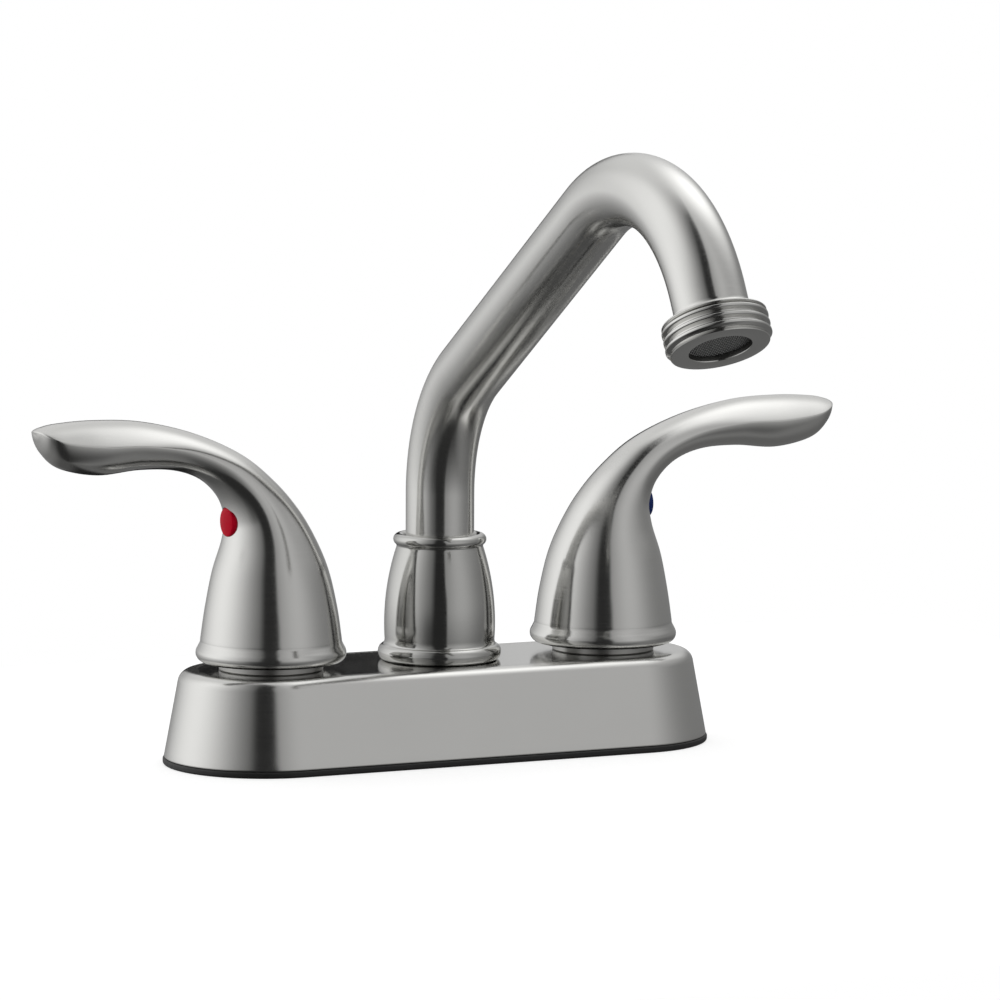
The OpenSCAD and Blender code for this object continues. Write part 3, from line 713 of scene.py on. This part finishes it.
def hose_outlet(place):
    shell = outlet_profile()
    obj = piece("hose_outlet", *turned(shell, place, n=OUTLET_SIDES, closed=True),
                nickel_outlet, "spout", "satin_nickel", "outlet_adapter", sharp=38)
    # The hole's inner wall gets the dark bore material, painted shade inside the hole
    obj.data.materials.append(bore_metal)
    bore = (len(shell) - 3) * OUTLET_SIDES
    for polygon in obj.data.polygons[bore:bore + OUTLET_SIDES]:
        polygon.material_index = 1


# Woven wire screen on a ring, behind the outlet hole

WIRE_PITCH = 0.62
WIRE_R = 0.13
WIRE_WAVE = 0.12
WIRE_SIDES = 6
WEAVE_R = 8.6
WEAVE_TURN = 11
SCREEN_RING_IN = 8.4
SCREEN_MID = OUTLET_LEN - SCREEN_DEPTH - SCREEN_T / 2


def wire_rings(k, direction, place):
    """Rings of wire k, which goes over and under the wires of the other direction."""
    offset = k * WIRE_PITCH
    half = math.sqrt(WEAVE_R ** 2 - offset ** 2)
    steps = max(6, int(2 * half / (WIRE_PITCH / 4)))
    rings = []
    for i in range(steps + 1):
        s = -half + 2 * half * i / steps
        mid = SCREEN_MID + WIRE_WAVE * math.cos(math.pi * (s / WIRE_PITCH + k + direction))
        ring = []
        for j in range(WIRE_SIDES):
            a = 2 * math.pi * j / WIRE_SIDES
            along, side = s, offset + WIRE_R * math.cos(a)
            x, y = (along, side) if direction == 0 else (side, along)
            ring.append(tuple(place @ Vector((x, y, mid + WIRE_R * math.sin(a)))))
        rings.append(ring)
    return rings


def wire_screen(place):
    weave = place @ Matrix.Rotation(math.radians(WEAVE_TURN), 4, "Z")
    count = int(WEAVE_R / WIRE_PITCH)
    parts = []
    for direction in (0, 1):
        for k in range(-count, count + 1):
            parts.append(skin(wire_rings(k, direction, weave), cap_start=True, cap_end=True))
    low = SCREEN_MID - SCREEN_T / 2
    high = SCREEN_MID + SCREEN_T / 2
    ring = [(SCREEN_RING_IN, low), (TUBE_R, low), (TUBE_R, high), (SCREEN_RING_IN, high)]
    parts.append(turned(ring, place, n=72, closed=True))
    points = []
    faces = []
    uvs = []
    for part_points, part_faces, part_uvs in parts:
        base = len(points)
        points += part_points
        faces += [tuple(i + base for i in f) for f in part_faces]
        uvs += part_uvs
    piece("wire_screen", points, faces, uvs, steel, "spout", "steel", "outlet_screen", sharp=60)


base_cover()
base_pad()
hub_shell()
for name, side in SIDES:
    collar(name, side)
for name, side in SIDES:
    handle(name, side)
bends = spout_line()
tube_skin(bends)
hose_outlet(outlet_frame(bends))
wire_screen(outlet_frame(bends))


# Studio, in metres: a white floor for the camera, and a tent and a soft box that only the metal sees

def stage_material(name):
    m = bpy.data.materials.new(name)
    m.use_nodes = True
    tree = m.node_tree
    tree.nodes.clear()
    return m, tree, tree.nodes.new("ShaderNodeOutputMaterial")


def floor_material(name, glow_strength, pale):
    """Glows for the camera alone. Light from the tent makes up the rest, so the part keeps a soft shadow."""
    m, tree, result = stage_material(name)
    plain = tree.nodes.new("ShaderNodeBsdfDiffuse")
    plain.inputs["Color"].default_value = (pale, pale, pale, 1)
    glow = tree.nodes.new("ShaderNodeEmission")
    path = tree.nodes.new("ShaderNodeLightPath")
    seen = remap(tree, path.outputs["Is Camera Ray"], 0.0, glow_strength, 0.0, 1.0)
    link(tree, seen, glow.inputs["Strength"])
    both = tree.nodes.new("ShaderNodeAddShader")
    link(tree, plain.outputs[0], both.inputs[0])
    link(tree, glow.outputs[0], both.inputs[1])
    link(tree, both.outputs[0], result.inputs["Surface"])
    return m


def glow_material(name, clear):
    """Light of the strength in the mesh's glow attribute, on a clear or a solid sheet."""
    m, tree, result = stage_material(name)
    tone = tree.nodes.new("ShaderNodeAttribute")
    tone.attribute_name = "glow"
    glow = tree.nodes.new("ShaderNodeEmission")
    link(tree, tone.outputs["Fac"], glow.inputs["Strength"])
    light = glow
    if clear:
        light = tree.nodes.new("ShaderNodeAddShader")
        link(tree, glow.outputs[0], light.inputs[0])
        link(tree, tree.nodes.new("ShaderNodeBsdfTransparent").outputs[0], light.inputs[1])
    link(tree, light.outputs[0], result.inputs["Surface"])
    return m


def stage_mesh(name, points, faces, material):
    mesh = bpy.data.meshes.new(name)
    mesh.from_pydata(points, [], faces)
    mesh.materials.append(material)
    obj = bpy.data.objects.new(name, mesh)
    scene.collection.objects.link(obj)
    return obj


def glow_sheet(name, rings, levels, material):
    """Sheet of rings joined one to the next, with its own brightness at each point."""
    n = len(rings[0])
    faces = []
    for k in range(len(rings) - 1):
        for i in range(n):
            j = (i + 1) % n
            faces.append((k * n + i, k * n + j, (k + 1) * n + j, (k + 1) * n + i))
    obj = stage_mesh(name, [p for ring in rings for p in ring], faces, material)
    obj.data.attributes.new("glow", "FLOAT", "POINT").data.foreach_set("value", levels)
    obj.visible_camera = False


# Floor: the near part takes a faint contact shadow, the far part is plain white

FLOOR_NEAR = 0.26
FLOOR_FAR = 8.0
FLOOR_Y = -0.06
NEAR_GLOW = 0.7
NEAR_PALE = 0.55


def floor_corners(half):
    corners = ((-1, -1), (1, -1), (1, 1), (-1, 1))
    return [(x * half, y * half + FLOOR_Y, 0) for x, y in corners]


floor = stage_mesh("floor", floor_corners(FLOOR_NEAR), [(0, 1, 2, 3)],
                   floor_material("floor_near", NEAR_GLOW, NEAR_PALE))
outer = stage_mesh("floor_outer", floor_corners(FLOOR_NEAR) + floor_corners(FLOOR_FAR),
                   [(i, 4 + i, 4 + (i + 1) % 4, (i + 1) % 4) for i in range(4)],
                   floor_material("floor_far", 1.0, 0.0))
floor.visible_glossy = False
outer.visible_glossy = False

# Tent: phi is in degrees to the right of the camera, el in degrees above level

AZ = -25.18
EL = 6.30
ROLL = 0.28
MIDDLE = Vector((0, 0, 0.07))
TENT_R = 3.0
TENT_COLS = 720
TENT_ROWS = 90
LEFT_PHI = -94
LEFT_LEVEL = 1.2
LEFT_WIDTH = 58
LEFT_BACK_WIDTH = 62
RIGHT_LEVEL = 0.27
RIGHT_UPPER_LEVEL = 0.22
RIGHT_SPOT_PHI = 48
RIGHT_SPOT_LEVEL = 0.34
RIGHT_SPOT_WIDTH = 34
WALL_LEFT_LEVEL = 0.56
WALL_RIGHT_LEVEL = 0.72
WALL_PATCH_EL = 50
STRIP_END_PHI = -179.3
GAP_LEVEL = 0.03
FADE_EL = 28
GROUND_LEVEL = 0.03
GROUND_LEFT_LEVEL = 0.07
GROUND_RIGHT_LEVEL = 0.13
GROUND_SPOT_PHI = 72
GROUND_SPOT_LEVEL = 0.08
GROUND_SPOT_WIDTH = 30


def heading(phi, el):
    """Unit vector in that direction."""
    return Vector((sind(AZ + phi) * cosd(el), -cosd(AZ + phi) * cosd(el), sind(el)))


WALL_PATCH = heading(180, WALL_PATCH_EL)


def left_light(phi, el):
    """Broad light on the left, weaker towards the top, the camera and the low front."""
    width = LEFT_WIDTH if phi > LEFT_PHI else LEFT_BACK_WIDTH + 12 * smooth(el, 8, 26)
    light = LEFT_LEVEL * bell(phi, LEFT_PHI, width)
    light *= (1 - 0.72 * smooth(el, 38, 90)) * smooth(-phi, 3, 20)
    return light * (1 - 0.45 * smooth(phi, -48, -20) * (1 - smooth(el, -8, 4)))


def right_light(phi, el):
    """Weak light on the right, with one brighter place and a paler upper part."""
    light = RIGHT_LEVEL + RIGHT_SPOT_LEVEL * bell(phi, RIGHT_SPOT_PHI, RIGHT_SPOT_WIDTH)
    return light + RIGHT_UPPER_LEVEL * smooth(el, 5, 35) * smooth(phi, 60, 110)


def wall(phi, el):
    """How far the pale wall behind covers that direction, and how bright it is there."""
    if phi < 0:
        cover = smooth(-phi, 150, 174)
        bright = WALL_LEFT_LEVEL + 0.18 * smooth(el, 8, 26)
    else:
        low = 1 - smooth(el, 8, 24)
        cover = smooth(phi, 132 + 27 * low, 170 + 8 * low)
        bright = (WALL_RIGHT_LEVEL - 0.12 * low) * (0.4 + 0.6 * smooth(el, -8, 4))
    patch = 1 - smooth(math.degrees(heading(phi, el).angle(WALL_PATCH)), 26, 48)
    return max(cover, patch), bright + 0.14 * smooth(el, 10, 45)


def dark_strip(phi, el):
    """Dark upright strip behind, just left of the middle of the wall."""
    if phi >= 0 or phi <= STRIP_END_PHI:
        return 0.0
    return smooth(-phi, 164, 170) * (1 - smooth(el, 14, 20))


def gap_light(phi, el):
    """What is left of the light in the dark gap just right of the camera."""
    if phi < 0:
        return 1.0
    edge = 11 + 3 * (1 - smooth(el, 4, 14)) + 9 * smooth(el, 40, 68)
    return GAP_LEVEL + (1 - GAP_LEVEL) * max(smooth(phi, edge, edge + 4), smooth(el, 72, 88))


def ground_light(phi):
    side = GROUND_LEFT_LEVEL if phi < 0 else GROUND_RIGHT_LEVEL
    light = GROUND_LEVEL + side * smooth(abs(phi), 25, 80)
    return light + GROUND_SPOT_LEVEL * bell(phi, GROUND_SPOT_PHI, GROUND_SPOT_WIDTH)


def tent_light(phi, el):
    """Brightness of the tent in that direction. It fades below level, down to the dark ground."""
    side = left_light(phi, el) if phi < 0 else right_light(phi, el)
    cover, bright = wall(phi, el)
    fade = math.exp(min(0.0, el + 1) / FADE_EL)
    strip = dark_strip(phi, el)
    level = (side + (bright - side) * cover) * fade * (1 - 0.97 * strip)
    return max(level * gap_light(phi, el), ground_light(phi) * (1 - 0.85 * strip))


phis = [-180 + 360 * i / TENT_COLS for i in range(TENT_COLS)]
els = [-90 + 180 * k / TENT_ROWS for k in range(TENT_ROWS + 1)]
glow_sheet("tent", [[tuple(heading(phi, el) * TENT_R + MIDDLE) for phi in phis] for el in els],
           [tent_light(phi, el) for el in els for phi in phis], glow_material("tent_light", False))

# Soft box above the right-hand lever, close enough for each piece to see it in another place

BOX_AT = Vector((0.166, -0.04, 0.384))
BOX_R = 0.14
BOX_GLOW = 1.0
BOX_SPREAD = 2.2
BOX_CUT = 0.008
BOX_RINGS = 24
BOX_SEGMENTS = 48


def soft_box():
    face = (BOX_AT - MIDDLE).normalized()
    across = face.cross(Vector((0, 0, 1))).normalized()
    over = across.cross(face)
    angles = [2 * math.pi * i / BOX_SEGMENTS for i in range(BOX_SEGMENTS)]
    rings = []
    levels = []
    for k in range(BOX_RINGS + 1):
        r = BOX_SPREAD * BOX_R * (k + 0.01) / BOX_RINGS
        rings.append([tuple(BOX_AT + across * (r * math.cos(a)) + over * (r * math.sin(a))) for a in angles])
        levels += [BOX_GLOW * max(0.0, bell(r, 0, BOX_R) - BOX_CUT)] * BOX_SEGMENTS
    glow_sheet("soft_box", rings, levels, glow_material("box_light", True))


soft_box()

# World: white for the camera and almost dark for the rest

WORLD_FILL = 0.05

world = bpy.data.worlds.new("studio")
scene.world = world
world.use_nodes = True
sky = world.node_tree
sky_path = sky.nodes.new("ShaderNodeLightPath")
sky_light = sky.nodes["Background"]
sky_light.inputs["Color"].default_value = (1, 1, 1, 1)
sky_seen = remap(sky, sky_path.outputs["Is Camera Ray"], WORLD_FILL, 1.0, 0.0, 1.0)
link(sky, sky_seen, sky_light.inputs["Strength"])

# Camera at the photograph's place. The aim is in mm to the right of the middle and above the deck

AIM_RIGHT = 16.67
AIM_UP = 70.44
DISTANCE = 1.388
LENS = 179.8
SENSOR = 36

back = heading(0, EL)
level_right = Vector((cosd(AZ), sind(AZ), 0))
level_up = back.cross(level_right)
right = level_right * cosd(ROLL) + level_up * sind(ROLL)
up = level_up * cosd(ROLL) - level_right * sind(ROLL)
aim = (level_right * AIM_RIGHT + Vector((0, 0, AIM_UP))) * MM
cam_data = bpy.data.cameras.new("camera")
cam_data.sensor_width = SENSOR
cam_data.lens = LENS
cam_data.clip_start = 0.01
cam_data.clip_end = 50
cam = bpy.data.objects.new("camera", cam_data)
scene.collection.objects.link(cam)
cam.matrix_world = axes_matrix(right, up, back, aim + back * DISTANCE)
scene.camera = cam
scene.view_settings.view_transform = "Standard"
